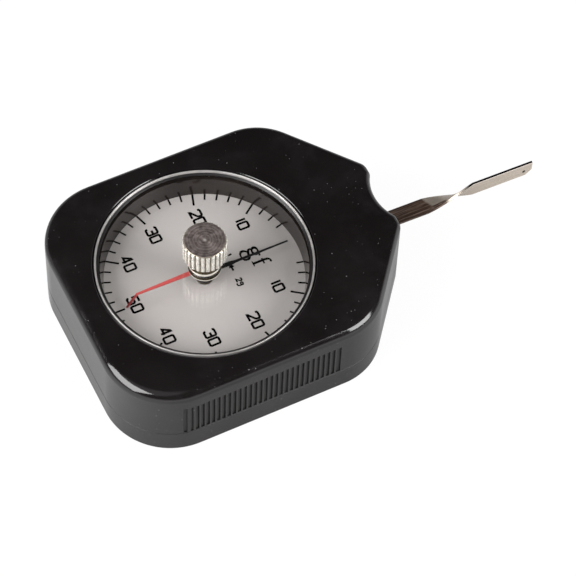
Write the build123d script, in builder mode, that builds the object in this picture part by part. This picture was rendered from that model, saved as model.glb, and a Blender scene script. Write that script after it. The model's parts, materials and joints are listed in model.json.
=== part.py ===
# Dial tension gauge, 0 to 50 gram-force each way, in millimetres.
# The back face is at Z = 0 and the dial's axis is the Z axis.
# +X runs along the measuring arm, which leaves the case at the nose.

import os
from math import acos, asin, atan, atan2, cos, degrees, pi, radians, sin, sqrt, tan

from build123d import *

os.makedirs("parts", exist_ok=True)

# Dial, well, crystal and bezel ring
dial_radius = 25.2
dial_thickness = 0.5
dial_hole = 2.0
dial_gap = 0.1
foot_radius = 0.9
foot_length = 1.2
foot_offset = 17.0
dial_margin = 1.55
well_depth = 5.1
well_slope = 0.75
well_wall = 1.55
crystal_thickness = 1.2
crystal_land = 0.9
crystal_gap = 0.05
ring_overlap = 0.15
ring_width = 0.55
ring_edge = 0.2
ring_inner_height = 0.75
ring_shoulder_height = 0.9
ring_outer_height = 0.7
ring_height = 0.95
ring_shoulder_share = 0.45
ring_gap = 0.1
ring_seat_depth = 0.7
groove_width = 0.35
groove_bevel = 0.15

# Case, seen from above: room round the dial and the nose, and the corners
side_room = 6.5
rear_room = 7.3
nose_room = 17.9
slope_length = 17.8
nose_half_width = 9.4
rear_corner = 16.6
slope_corner = 15.0
nose_corner = 3.2
notch_depth = 2.0
notch_radius = 12.5
notch_blend = 1.4

# Case walls, edges and the joint between its halves
split_height = 7.0
case_wall = 2.0
top_wall = 1.9
floor_wall = 2.0
top_round = 2.5
back_bevel = 0.5
split_bevel = 0.2
tongue_thickness = 0.9
tongue_height = 1.1
tongue_gap = 0.1

# Finger grips on the two long walls
grip_length = 40.0
grip_height = 10.8
grip_depth = 0.4
rib_count = 29
rib_base_share = 0.68
rib_crest_share = 0.34

# Slot in the nose for the arm
slot_width = 13.8
slot_height = 3.6
slot_corner = 1.2

# Screws of the case and of the movement
case_head_radius = 2.3
case_head_height = 1.5
case_shank_radius = 1.1
driver_slot_share = 0.28
driver_depth_share = 0.45
small_head_radius = 1.3
small_head_height = 0.8
small_shank_radius = 0.7
thread_gap = 0.05
clearance_gap = 0.2

# Screw bosses of the case
boss_radius = 3.0
boss_room = 0.7
case_screw_reach = 8.0
case_screw_sink = 3.5

# Movement plates and pillars
plate_thickness = 1.5
plate_margin = 0.7
lobe_half_width = 11.5
plate_end = 3.2
plate_corner = 4.0
ear_offset = 2.4
ear_radius = 2.6
ear_angles = (60, 120, 240, 300)
ear_screw_reach = 3.6
window_radius = 4.6
window_offset = 15.0
window_start = 135
window_sweep = 180
floor_room = 1.0
lower_plate_thickness = 1.2
lower_plate_rear = 12.5
stop_edge = 0.6
pillar_radius = 1.75
pillar_spigot = 1.1
rear_pillar_back = 8.0
front_pillar_ahead = 4.6
pillar_side = 8.2
pillar_screw_reach = 3.0

# Gear train: sector on the arm's staff, pinion on the pointer's arbor
gear_module = 0.3
pinion_teeth = 12
sector_full_teeth = 180
sector_teeth = 16
addendum_share = 1.0
dedendum_share = 1.25
pressure_angle = 20.0
backlash = 0.04
flank_steps = 3
arm_swing = 11.75

# Arbor of the measuring pointer
running_gap = 0.03
end_play = 0.1
arbor_radius = 0.9
lower_pivot_radius = 0.45
upper_journal_radius = 0.6
arbor_bush_radius = 1.6
arbor_nose = 0.3
pinion_margin = 1.0

# Arm staff and what it carries
staff_radius = 1.5
staff_pivot_radius = 0.8
staff_bush_radius = 2.3
sector_room = 1.8
sector_thickness = 1.0
sector_hub_radius = 3.2
sector_hub_length = 1.2
sector_rim_width = 2.4
sector_spoke_width = 2.2
stop_inset = 7.0
stop_radius = 1.0
stop_height = 3.4
stop_gap = 0.15

# Measuring arm, its hub and its clamp
arm_width = 4.33
arm_lean = 1.4
arm_thickness = 0.55
arm_root_ahead = 2.6
arm_flat = 11.6
arm_twist = 12.7
arm_blade = 16.1
twist_steps = 6
tip_clip = 1.6
hub_radius = 3.7
hub_seat = 1.725
hub_crown = 0.7
hub_reach = 9.4
hub_half_width = 3.5
clamp_thickness = 1.0
clamp_screw_shares = (0.22, 0.78)
clamp_edge = 0.4

# Springs
spring_room = 0.3
spring_collet_radius = 2.5
spring_collet_height = 1.4
spring_height = 1.0
spring_strip = 0.3
spring_pitch = 1.5
spring_half_turns = 5
plate_room = 0.125
hair_drop = 3.2
hair_collet_radius = 1.8
hair_collet_height = 1.2
hair_height = 0.6
hair_strip = 0.14
hair_pitch = 1.1
hair_half_turns = 5
stud_length = 2.4
stud_width = 1.0
stud_slot_gap = 0.02

# Measuring pointer
pointer_level_share = 0.32
pointer_thickness = 0.25
pointer_hub_radius = 2.2
pointer_hub_height = 0.8
pointer_root = 1.4
pointer_spear = 6.6
pointer_neck = 8.0
pointer_end_gap = 2.05
pointer_root_width = 0.7
pointer_spear_width = 1.15
pointer_neck_width = 0.62
pointer_tip_width = 0.3

# Knob and drag pointer
knob_radius = 5.2
knob_height = 6.1
knob_chamfer = 0.3
flute_count = 26
flute_start = 11.3
flute_radius = 0.36
flute_sink = 0.1
neck_radius = 2.9
neck_length = 2.85
neck_gap = 0.1
spindle_radius = 1.2
spindle_nose = 0.2
spindle_grip = 4.0
bush_flange_radius = 3.8
bush_flange_height = 0.75
bush_radius = 2.1
washer_radius = 3.1
washer_thickness = 0.2
drag_hub_radius = 3.9
drag_hub_disc = 0.35
drag_boss_radius = 2.0
drag_boss_height = 0.8
drag_thickness = 0.28
drag_ring_radius = 3.1
drag_root_width = 1.25
drag_tip_width = 0.5
drag_end_gap = 6.2
drag_lean = 2.65
catch_gap = 0.4

overrun = 1.0

# Heights, stacked from the back face
lower_plate_bottom = floor_wall + floor_room
lower_plate_top = lower_plate_bottom + lower_plate_thickness
sector_bottom = lower_plate_top + sector_room
sector_top = sector_bottom + sector_thickness
hub_bottom = sector_top + sector_hub_length
arm_bottom = hub_bottom + hub_seat
arm_height = arm_bottom + arm_thickness / 2
arm_top = arm_bottom + arm_thickness
clamp_seat = arm_top + clamp_thickness
collet_bottom = clamp_seat + small_head_height + spring_room
spring_level = collet_bottom + (spring_collet_height - spring_height) / 2
plate_bottom = collet_bottom + spring_collet_height + plate_room
dial_bottom = plate_bottom + plate_thickness
dial_top = dial_bottom + dial_thickness
crystal_seat = dial_top + well_depth
ring_seat = crystal_seat + crystal_thickness
case_height = ring_seat + ring_seat_depth
cavity_top = case_height - top_wall
hair_level = plate_bottom - hair_drop
pointer_level = dial_top + well_depth * pointer_level_share
drag_hub_top = crystal_seat - washer_thickness - thread_gap
drag_top = drag_hub_top - drag_hub_disc
neck_bottom = ring_seat + bush_flange_height + neck_gap
knob_bottom = neck_bottom + neck_length

# Radii round the dial's axis
well_foot_radius = dial_radius - dial_margin
well_top_radius = well_foot_radius + well_slope
well_outer_radius = well_top_radius + well_wall
crystal_radius = well_top_radius + crystal_land
ring_inner_radius = crystal_radius - ring_overlap
ring_outer_radius = ring_inner_radius + ring_width
ring_peak_radius = ring_outer_radius - ring_edge
ring_pocket = ring_outer_radius + ring_gap
plate_radius = dial_radius + plate_margin
ear_circle = dial_radius + ear_offset

# Places along the case
pitch_radius = gear_module * pinion_teeth / 2
sector_radius = gear_module * sector_full_teeth / 2
pivot_x = pitch_radius + sector_radius
case_half_width = dial_radius + side_room
case_rear = dial_radius + rear_room
nose_reach = pivot_x + nose_room
slope_start = nose_reach - slope_length
front_pillar = pivot_x + front_pillar_ahead
arm_root = pivot_x + arm_root_ahead
twist_start = nose_reach + arm_flat
twist_end = twist_start + arm_twist
arm_tip = twist_end + arm_blade
clamp_length = hub_reach - arm_root_ahead
clamp_places = [(arm_root + clamp_length * share, 0) for share in clamp_screw_shares]

# Stop pins, which the sector's outer edges meet at the ends of its swing
tooth_angle = 360 / sector_full_teeth
sector_half_angle = tooth_angle * (sector_teeth + 1) / 2
stop_circle = sector_radius - stop_inset
stop_angle = radians(sector_half_angle + arm_swing) + asin((stop_radius + stop_gap) / stop_circle)
stop_x = pivot_x - stop_circle * cos(stop_angle)
stop_y = stop_circle * sin(stop_angle)
stop_places = [(stop_x, -stop_y), (stop_x, stop_y)]
lower_plate_half_width = stop_y + stop_radius + stop_edge

# Screw and pillar places, the same on both sides
slope_turn = atan2(case_half_width - nose_half_width, slope_length)
boss_inset = case_wall + boss_radius + boss_room
rear_boss_reach = (rear_corner - boss_inset) * sqrt(0.5)
rear_boss = (
    -(case_rear - rear_corner) - rear_boss_reach,
    case_half_width - rear_corner + rear_boss_reach,
)
front_boss = (
    (slope_start + nose_reach) / 2 - boss_inset * sin(slope_turn),
    (case_half_width + nose_half_width) / 2 - boss_inset * cos(slope_turn),
)
case_bosses = [(x, side * y) for x, y in (rear_boss, front_boss) for side in (-1, 1)]
pillar_places = [(x, side * pillar_side) for x in (-rear_pillar_back, front_pillar) for side in (-1, 1)]
ear_places = [(ear_circle * cos(radians(a)), ear_circle * sin(radians(a))) for a in ear_angles]


def leaned(plane):
    """A plane of the straight arm, turned about the pivot by the arm's lean."""
    turned = Location((pivot_x, 0, 0), (0, 0, -arm_lean)) * Location((-pivot_x, 0, 0))
    return Plane(turned * plane.location)


def case_outline(inset=0.0):
    """The case from above, with every wall moved in by the inset."""
    half_width = case_half_width - inset
    rear = case_rear - inset
    reach = nose_reach - inset
    slope_x = slope_start - inset * tan(slope_turn / 2)
    nose_y = nose_half_width - inset * tan((pi / 2 - slope_turn) / 2)
    bend = notch_radius + inset
    notch_y = sqrt(2 * bend * notch_depth - notch_depth**2)
    with BuildSketch() as outline:
        with BuildLine():
            Polyline(
                (reach, notch_y),
                (reach, nose_y),
                (slope_x, half_width),
                (-rear, half_width),
                (-rear, -half_width),
                (slope_x, -half_width),
                (reach, -nose_y),
                (reach, -notch_y),
            )
            ThreePointArc((reach, -notch_y), (reach - notch_depth, 0), (reach, notch_y))
        make_face()
        corners = [
            (reach, nose_y, nose_corner),
            (slope_x, half_width, slope_corner),
            (-rear, half_width, rear_corner),
        ]
        if inset < notch_blend:
            corners.append((reach, notch_y, notch_blend))
        for x, y, radius in corners:
            for side in (-1, 1):
                corner = outline.vertices().sort_by_distance((x, side * y))[0]
                fillet(corner, radius - inset)
    return outline.sketch


def tooth_points(teeth, radius):
    """Half-angles of one gear tooth at rising radii, with involute flanks."""
    base = radius * cos(radians(pressure_angle))
    root = radius - dedendum_share * gear_module
    tip = radius + addendum_share * gear_module
    inv = tan(radians(pressure_angle)) - radians(pressure_angle)
    middle = pi / (2 * teeth) - backlash / (2 * radius)
    foot = max(base, root)
    points = []
    for step in range(flank_steps + 1):
        r = foot + (tip - foot) * step / flank_steps
        angle = acos(min(1.0, base / r))
        points.append((r, middle + inv - (tan(angle) - angle)))
    return [(root - backlash, points[0][1])] + points


def tooth_outline(teeth, radius):
    """One gear tooth that points along +X, as a closed row of points."""
    flank = tooth_points(teeth, radius)
    upper = [(r * cos(a), r * sin(a)) for r, a in flank]
    lower = [(x, -y) for x, y in reversed(upper)]
    return upper + lower


def spiral_end(inner, pitch, half_turns, strip):
    """Where a spiral's last turn ends on the X axis, and which way its tail runs along Y."""
    side = 1 if half_turns % 2 == 0 else -1
    radius = inner + strip / 2 + half_turns * pitch / 2
    return side * radius, side


def spiral_outline(inner, pitch, half_turns, strip):
    """A flat spiral band of half circles whose centres alternate along X."""
    with BuildSketch() as band:
        for turn in range(half_turns):
            side = 1 if turn % 2 == 0 else -1
            radius = inner + strip / 2 + pitch / 4 + turn * pitch / 2
            centre = -side * pitch / 4
            with BuildLine():
                outer_arc = CenterArc((centre, 0), radius + strip / 2, 90 - 90 * side, 180)
                inner_arc = CenterArc((centre, 0), radius - strip / 2, 90 - 90 * side, 180)
                Line(outer_arc @ 0, inner_arc @ 0)
                Line(outer_arc @ 1, inner_arc @ 1)
            make_face()
        end, way = spiral_end(inner, pitch, half_turns, strip)
        with Locations((end, way * stud_length / 2)):
            Rectangle(strip, stud_length)
    return band.sketch


def screw(head_radius, head_height, shank_radius, reach):
    """A cheese-head screw along +Z, its head's seat at zero."""
    with BuildPart(mode=Mode.PRIVATE) as fastener:
        with BuildSketch(Plane.XY.offset(-head_height)):
            Circle(head_radius)
        extrude(amount=head_height)
        with BuildSketch():
            Circle(shank_radius)
        extrude(amount=reach)
    return fastener.part


def small_screw(reach):
    """A screw of the movement."""
    return screw(small_head_radius, small_head_height, small_shank_radius, reach)


# Front case: one moulding with the dial's well, the screw bosses and the grips
with BuildPart() as front_case:
    with BuildSketch(Plane.XY.offset(split_height)):
        add(case_outline())
    extrude(amount=case_height - split_height)
    fillet(front_case.faces().sort_by(Axis.Z)[-1].edges(), top_round)
    chamfer(front_case.faces().sort_by(Axis.Z)[0].edges(), split_bevel)
    # Hollow inside, with a rebate at the split for the cover's tongue
    with BuildSketch(Plane.XY.offset(split_height)):
        add(case_outline(case_wall))
    extrude(amount=cavity_top - split_height, mode=Mode.SUBTRACT)
    with BuildSketch(Plane.XY.offset(split_height)):
        add(case_outline(case_wall - tongue_thickness - tongue_gap))
    extrude(amount=tongue_height + tongue_gap, mode=Mode.SUBTRACT)
    # Bosses for the case screws and for the movement
    with BuildSketch(Plane.XY.offset(split_height)):
        with Locations(case_bosses):
            Circle(boss_radius)
    extrude(amount=cavity_top - split_height)
    with BuildSketch(Plane.XY.offset(dial_bottom)):
        with Locations(ear_places):
            Circle(ear_radius)
    extrude(amount=cavity_top - dial_bottom)
    with BuildSketch(Plane.XY.offset(dial_top)):
        Circle(well_outer_radius)
    extrude(amount=cavity_top - dial_top)
    # Window: dial recess, sloping well, crystal seat, ring seat and the groove round the ring
    with BuildSketch(Plane.XZ):
        groove_radius = ring_pocket + groove_width
        with BuildLine():
            Polyline(
                (0, dial_bottom),
                (dial_radius + dial_gap, dial_bottom),
                (dial_radius + dial_gap, dial_top),
                (well_foot_radius, dial_top),
                (well_top_radius, crystal_seat),
                (crystal_radius + crystal_gap, crystal_seat),
                (crystal_radius + crystal_gap, ring_seat),
                (groove_radius, ring_seat),
                (groove_radius, case_height - groove_bevel),
                (groove_radius + groove_bevel, case_height),
                (groove_radius + groove_bevel, case_height + overrun),
                (0, case_height + overrun),
                close=True,
            )
        make_face()
    revolve(axis=Axis.Z, mode=Mode.SUBTRACT)
    # Holes for the screws
    with BuildSketch(Plane.XY.offset(split_height)):
        with Locations(case_bosses):
            Circle(case_shank_radius + thread_gap)
    extrude(amount=case_screw_reach + clearance_gap, mode=Mode.SUBTRACT)
    with BuildSketch(Plane.XY.offset(dial_bottom)):
        with Locations(ear_places):
            Circle(small_shank_radius + thread_gap)
    extrude(amount=ear_screw_reach + clearance_gap, mode=Mode.SUBTRACT)
    # Slot for the arm
    with BuildSketch(Plane.YZ.offset(nose_reach + overrun)):
        with Locations((0, arm_height)):
            RectangleRounded(slot_width, slot_height, slot_corner)
    extrude(amount=-(notch_depth + case_wall + 2 * overrun), mode=Mode.SUBTRACT)
    # Ribbed grips that follow the walls, open at the split
    rib_pitch = grip_length / (rib_count + 1)
    rib_base = rib_pitch * rib_base_share
    rib_slant = (rib_base - rib_pitch * rib_crest_share) / 2
    with BuildSketch(Plane.XY.offset(split_height)):
        add(case_outline())
        add(case_outline(grip_depth), mode=Mode.SUBTRACT)
        Rectangle(grip_length, 2 * (case_half_width + overrun), mode=Mode.INTERSECT)
        for side, turn in ((-1, 180), (1, 0)):
            with Locations((0, side * (case_half_width - grip_depth / 2))):
                with GridLocations(rib_pitch, 0, rib_count, 1):
                    Trapezoid(
                        rib_base,
                        grip_depth,
                        degrees(atan(grip_depth / rib_slant)),
                        rotation=turn,
                        mode=Mode.SUBTRACT,
                    )
    extrude(amount=grip_height, mode=Mode.SUBTRACT)
front_case.part.label = "front_case"
export_step(front_case.part, "parts/front_case.step")

# Back cover: a tray with a tongue that fits inside the front case
with BuildPart() as back_cover:
    with BuildSketch():
        add(case_outline())
    extrude(amount=split_height)
    chamfer(back_cover.faces().sort_by(Axis.Z)[0].edges(), back_bevel)
    chamfer(back_cover.faces().sort_by(Axis.Z)[-1].edges(), split_bevel)
    with BuildSketch(Plane.XY.offset(floor_wall)):
        add(case_outline(case_wall))
    extrude(amount=split_height - floor_wall, mode=Mode.SUBTRACT)
    with BuildSketch(Plane.XY.offset(split_height - tongue_thickness)):
        add(case_outline(case_wall - tongue_thickness))
        add(case_outline(case_wall), mode=Mode.SUBTRACT)
    extrude(amount=tongue_thickness + tongue_height)
    with BuildSketch(Plane.XY.offset(floor_wall)):
        with Locations(case_bosses):
            Circle(boss_radius)
    extrude(amount=split_height - floor_wall)
    with BuildSketch():
        with Locations(case_bosses):
            Circle(case_shank_radius + clearance_gap)
    extrude(amount=split_height, mode=Mode.SUBTRACT)
    with BuildSketch():
        with Locations(case_bosses):
            Circle(case_head_radius + clearance_gap)
    extrude(amount=case_screw_sink, mode=Mode.SUBTRACT)
back_cover.part.label = "back_cover"
export_step(back_cover.part, "parts/back_cover.step")

# Four screws that hold the two halves of the case together
with BuildPart() as case_screws:
    case_bolt_reach = split_height - case_screw_sink + case_screw_reach
    case_bolt = screw(case_head_radius, case_head_height, case_shank_radius, case_bolt_reach)
    with Locations([(x, y, case_screw_sink) for x, y in case_bosses]):
        add(case_bolt)
    with BuildSketch(Plane.XY.offset(case_screw_sink - case_head_height)):
        with Locations(case_bosses):
            Rectangle(2 * (case_head_radius + overrun), case_head_radius * driver_slot_share)
    extrude(amount=case_head_height * driver_depth_share, mode=Mode.SUBTRACT)
case_screws.part.label = "case_screws"
export_step(case_screws.part, "parts/case_screws.step")

# Bezel ring: a bright rounded ring that holds the crystal down
with BuildPart() as bezel_ring:
    ring_shoulder = ring_inner_radius + (ring_peak_radius - ring_inner_radius) * ring_shoulder_share
    with BuildSketch(Plane.XZ):
        with BuildLine():
            Polyline(
                (ring_inner_radius, ring_seat),
                (ring_outer_radius, ring_seat),
                (ring_outer_radius, ring_seat + ring_outer_height),
                (ring_peak_radius, ring_seat + ring_height),
                (ring_shoulder, ring_seat + ring_shoulder_height),
                (ring_inner_radius, ring_seat + ring_inner_height),
                close=True,
            )
        make_face()
    revolve(axis=Axis.Z)
bezel_ring.part.label = "bezel_ring"
export_step(bezel_ring.part, "parts/bezel_ring.step")

# Crystal: a clear disc with a hole for the knob's bush
with BuildPart() as crystal:
    with BuildSketch(Plane.XY.offset(crystal_seat)):
        Circle(crystal_radius)
        Circle(bush_radius, mode=Mode.SUBTRACT)
    extrude(amount=crystal_thickness)
crystal.part.label = "crystal"
export_step(crystal.part, "parts/crystal.step")

# Dial plate with two feet that sit in the movement plate
with BuildPart() as dial_plate:
    with BuildSketch(Plane.XY.offset(dial_bottom)):
        Circle(dial_radius)
        Circle(dial_hole, mode=Mode.SUBTRACT)
    extrude(amount=dial_thickness)
    with BuildSketch(Plane.XY.offset(dial_bottom)):
        with Locations((0, foot_offset), (0, -foot_offset)):
            Circle(foot_radius)
    extrude(amount=-foot_length)
dial_plate.part.label = "dial_plate"
export_step(dial_plate.part, "parts/dial_plate.step")

# Movement plate: a round plate with four ears and a lobe over the arm's staff
with BuildPart() as movement_plate:
    lobe_end = front_pillar + plate_end
    with BuildSketch(Plane.XY.offset(plate_bottom)):
        with Locations((lobe_end / 2, 0)):
            RectangleRounded(lobe_end, 2 * lobe_half_width, plate_corner)
        Circle(plate_radius)
        with Locations(ear_places):
            Circle(ear_radius)
        with PolarLocations(window_offset, 2, start_angle=window_start, angular_range=window_sweep):
            Circle(window_radius, mode=Mode.SUBTRACT)
        with Locations((0, foot_offset), (0, -foot_offset)):
            Circle(foot_radius + thread_gap, mode=Mode.SUBTRACT)
        with Locations(ear_places):
            Circle(small_shank_radius + thread_gap, mode=Mode.SUBTRACT)
        with Locations(pillar_places):
            Circle(pillar_spigot, mode=Mode.SUBTRACT)
        Circle(arbor_bush_radius, mode=Mode.SUBTRACT)
        with Locations((pivot_x, 0)):
            Circle(staff_bush_radius, mode=Mode.SUBTRACT)
    extrude(amount=plate_thickness)
movement_plate.part.label = "movement_plate"
export_step(movement_plate.part, "parts/movement_plate.step")

# Lower plate, which carries the lower bushes and the stop pins
with BuildPart() as lower_plate:
    plate_front = front_pillar + plate_end
    with BuildSketch(Plane.XY.offset(lower_plate_bottom)):
        with Locations(((plate_front - lower_plate_rear) / 2, 0)):
            RectangleRounded(
                plate_front + lower_plate_rear, 2 * lower_plate_half_width, plate_corner
            )
        with Locations(pillar_places):
            Circle(small_shank_radius + thread_gap, mode=Mode.SUBTRACT)
        Circle(arbor_bush_radius, mode=Mode.SUBTRACT)
        with Locations((pivot_x, 0)):
            Circle(staff_bush_radius, mode=Mode.SUBTRACT)
        with Locations(stop_places):
            Circle(stop_radius, mode=Mode.SUBTRACT)
    extrude(amount=lower_plate_thickness)
lower_plate.part.label = "lower_plate"
export_step(lower_plate.part, "parts/lower_plate.step")

# Four pillars, riveted in the movement plate and tapped at their lower ends
with BuildPart() as pillars:
    with BuildSketch(Plane.XY.offset(lower_plate_top)):
        with Locations(pillar_places):
            Circle(pillar_radius)
    extrude(amount=plate_bottom - lower_plate_top)
    with BuildSketch(Plane.XY.offset(plate_bottom)):
        with Locations(pillar_places):
            Circle(pillar_spigot)
    extrude(amount=plate_thickness)
    with BuildSketch(Plane.XY.offset(lower_plate_top)):
        with Locations(pillar_places):
            Circle(small_shank_radius + thread_gap)
    extrude(amount=pillar_screw_reach + clearance_gap, mode=Mode.SUBTRACT)
pillars.part.label = "pillars"
export_step(pillars.part, "parts/pillars.step")

# Screws that hold the lower plate to the pillars
with BuildPart() as pillar_screws:
    pillar_bolt = small_screw(lower_plate_thickness + pillar_screw_reach)
    with Locations([(x, y, lower_plate_bottom) for x, y in pillar_places]):
        add(pillar_bolt)
pillar_screws.part.label = "pillar_screws"
export_step(pillar_screws.part, "parts/pillar_screws.step")

# Screws that hold the movement plate up against the front case
with BuildPart() as movement_screws:
    ear_screw = small_screw(plate_thickness + ear_screw_reach)
    with Locations([(x, y, plate_bottom) for x, y in ear_places]):
        add(ear_screw)
movement_screws.part.label = "movement_screws"
export_step(movement_screws.part, "parts/movement_screws.step")

# Bushes of the pointer's arbor, one in each plate
with BuildPart() as arbor_bushes:
    with BuildSketch(Plane.XY.offset(lower_plate_bottom)):
        Circle(arbor_bush_radius)
        Circle(lower_pivot_radius + running_gap, mode=Mode.SUBTRACT)
    extrude(amount=lower_plate_thickness)
    with BuildSketch(Plane.XY.offset(plate_bottom)):
        Circle(arbor_bush_radius)
        Circle(upper_journal_radius + running_gap, mode=Mode.SUBTRACT)
    extrude(amount=plate_thickness)
arbor_bushes.part.label = "arbor_bushes"
export_step(arbor_bushes.part, "parts/arbor_bushes.step")

# Bushes of the arm's staff, one in each plate
with BuildPart() as staff_bushes:
    for level, depth in (
        (lower_plate_bottom, lower_plate_thickness),
        (plate_bottom, plate_thickness),
    ):
        with BuildSketch(Plane.XY.offset(level)):
            with Locations((pivot_x, 0)):
                Circle(staff_bush_radius)
                Circle(staff_pivot_radius + running_gap, mode=Mode.SUBTRACT)
        extrude(amount=depth)
staff_bushes.part.label = "staff_bushes"
export_step(staff_bushes.part, "parts/staff_bushes.step")

# Two pins that stop the sector at the ends of its travel
with BuildPart() as stop_pins:
    with BuildSketch(Plane.XY.offset(lower_plate_bottom)):
        with Locations(stop_places):
            Circle(stop_radius)
    extrude(amount=lower_plate_thickness + stop_height)
stop_pins.part.label = "stop_pins"
export_step(stop_pins.part, "parts/stop_pins.step")

# Pointer arbor: a steel shaft with its pinion cut in one piece
with BuildPart() as pointer_arbor:
    arbor_top = pointer_level + pointer_thickness + arbor_nose
    with BuildSketch(Plane.XZ):
        with BuildLine():
            Polyline(
                (0, lower_plate_bottom + end_play),
                (lower_pivot_radius, lower_plate_bottom + end_play),
                (lower_pivot_radius, lower_plate_top + end_play),
                (arbor_radius, lower_plate_top + end_play),
                (arbor_radius, plate_bottom - end_play),
                (upper_journal_radius, plate_bottom - end_play),
                (upper_journal_radius, arbor_top),
                (0, arbor_top),
                close=True,
            )
        make_face()
    revolve(axis=Axis.Z)
    with BuildSketch(Plane.XY.offset(sector_bottom - pinion_margin)):
        Circle(pitch_radius - dedendum_share * gear_module)
        with BuildLine():
            Polyline(*tooth_outline(pinion_teeth, pitch_radius), close=True)
        pinion_tooth = make_face()
        for index in range(1, pinion_teeth):
            add(pinion_tooth.rotate(Axis.Z, index * 360 / pinion_teeth))
    extrude(amount=sector_thickness + 2 * pinion_margin)
pointer_arbor.part.label = "pointer_arbor"
export_step(pointer_arbor.part, "parts/pointer_arbor.step")

# Hub of the measuring pointer, pressed on the arbor
with BuildPart() as pointer_hub:
    with BuildSketch(Plane.XY.offset(pointer_level)):
        Circle(pointer_root)
    extrude(amount=pointer_thickness)
    with BuildSketch(Plane.XY.offset(pointer_level - pointer_hub_height)):
        Circle(pointer_hub_radius)
    extrude(amount=pointer_hub_height)
    with BuildSketch(Plane.XY.offset(pointer_level - pointer_hub_height)):
        Circle(upper_journal_radius)
    extrude(amount=pointer_hub_height + pointer_thickness, mode=Mode.SUBTRACT)
pointer_hub.part.label = "pointer_hub"
export_step(pointer_hub.part, "parts/pointer_hub.step")

# Measuring pointer: a black spear that narrows to a fine line
with BuildPart() as measuring_pointer:
    pointer_tip = well_foot_radius - pointer_end_gap
    with BuildSketch(Plane.XY.offset(pointer_level)):
        with BuildLine():
            Polyline(
                (0, pointer_root_width / 2),
                (pointer_hub_radius, pointer_root_width / 2),
                (pointer_spear, pointer_spear_width / 2),
                (pointer_neck, pointer_neck_width / 2),
                (pointer_tip, pointer_tip_width / 2),
                (pointer_tip, -pointer_tip_width / 2),
                (pointer_neck, -pointer_neck_width / 2),
                (pointer_spear, -pointer_spear_width / 2),
                (pointer_hub_radius, -pointer_root_width / 2),
                (0, -pointer_root_width / 2),
                close=True,
            )
        make_face()
        Circle(pointer_hub_radius)
        Circle(pointer_root, mode=Mode.SUBTRACT)
    extrude(amount=pointer_thickness)
measuring_pointer.part.label = "measuring_pointer"
export_step(measuring_pointer.part, "parts/measuring_pointer.step")

# Collet that holds the inner end of the hairspring on the arbor
with BuildPart() as hairspring_collet:
    with BuildSketch(Plane.XY.offset(hair_level + (hair_height - hair_collet_height) / 2)):
        Circle(hair_collet_radius)
        Circle(arbor_radius, mode=Mode.SUBTRACT)
    extrude(amount=hair_collet_height)
hairspring_collet.part.label = "hairspring_collet"
export_step(hairspring_collet.part, "parts/hairspring_collet.step")

# Hairspring, which keeps the gear teeth pressed together
with BuildPart() as hairspring:
    with BuildSketch(Plane.XY.offset(hair_level)):
        add(spiral_outline(hair_collet_radius, hair_pitch, hair_half_turns, hair_strip))
    extrude(amount=hair_height)
hairspring.part.label = "hairspring"
export_step(hairspring.part, "parts/hairspring.step")

# Stud under the movement plate that holds the hairspring's outer end
with BuildPart() as hairspring_stud:
    hair_end, hair_way = spiral_end(hair_collet_radius, hair_pitch, hair_half_turns, hair_strip)
    hair_stud_place = (hair_end, hair_way * (stud_length / 2 + clearance_gap))
    with BuildSketch(Plane.XY.offset(hair_level)):
        with Locations(hair_stud_place):
            Rectangle(stud_width, stud_length)
    extrude(amount=plate_bottom - hair_level)
    with BuildSketch(Plane.XY.offset(hair_level)):
        with Locations(hair_stud_place):
            Rectangle(hair_strip + 2 * stud_slot_gap, stud_length)
    extrude(amount=hair_height + stud_slot_gap, mode=Mode.SUBTRACT)
hairspring_stud.part.label = "hairspring_stud"
export_step(hairspring_stud.part, "parts/hairspring_stud.step")

# Staff that carries the arm, the sector and the measuring spring
with BuildPart() as arm_staff:
    with BuildSketch(Plane.XZ):
        with BuildLine():
            Polyline(
                (pivot_x, lower_plate_bottom),
                (pivot_x + staff_pivot_radius, lower_plate_bottom),
                (pivot_x + staff_pivot_radius, lower_plate_top + end_play),
                (pivot_x + staff_radius, lower_plate_top + end_play),
                (pivot_x + staff_radius, plate_bottom - end_play),
                (pivot_x + staff_pivot_radius, plate_bottom - end_play),
                (pivot_x + staff_pivot_radius, dial_bottom),
                (pivot_x, dial_bottom),
                close=True,
            )
        make_face()
    revolve(axis=Axis((pivot_x, 0, 0), (0, 0, 1)))
arm_staff.part.label = "arm_staff"
export_step(arm_staff.part, "parts/arm_staff.step")

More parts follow.
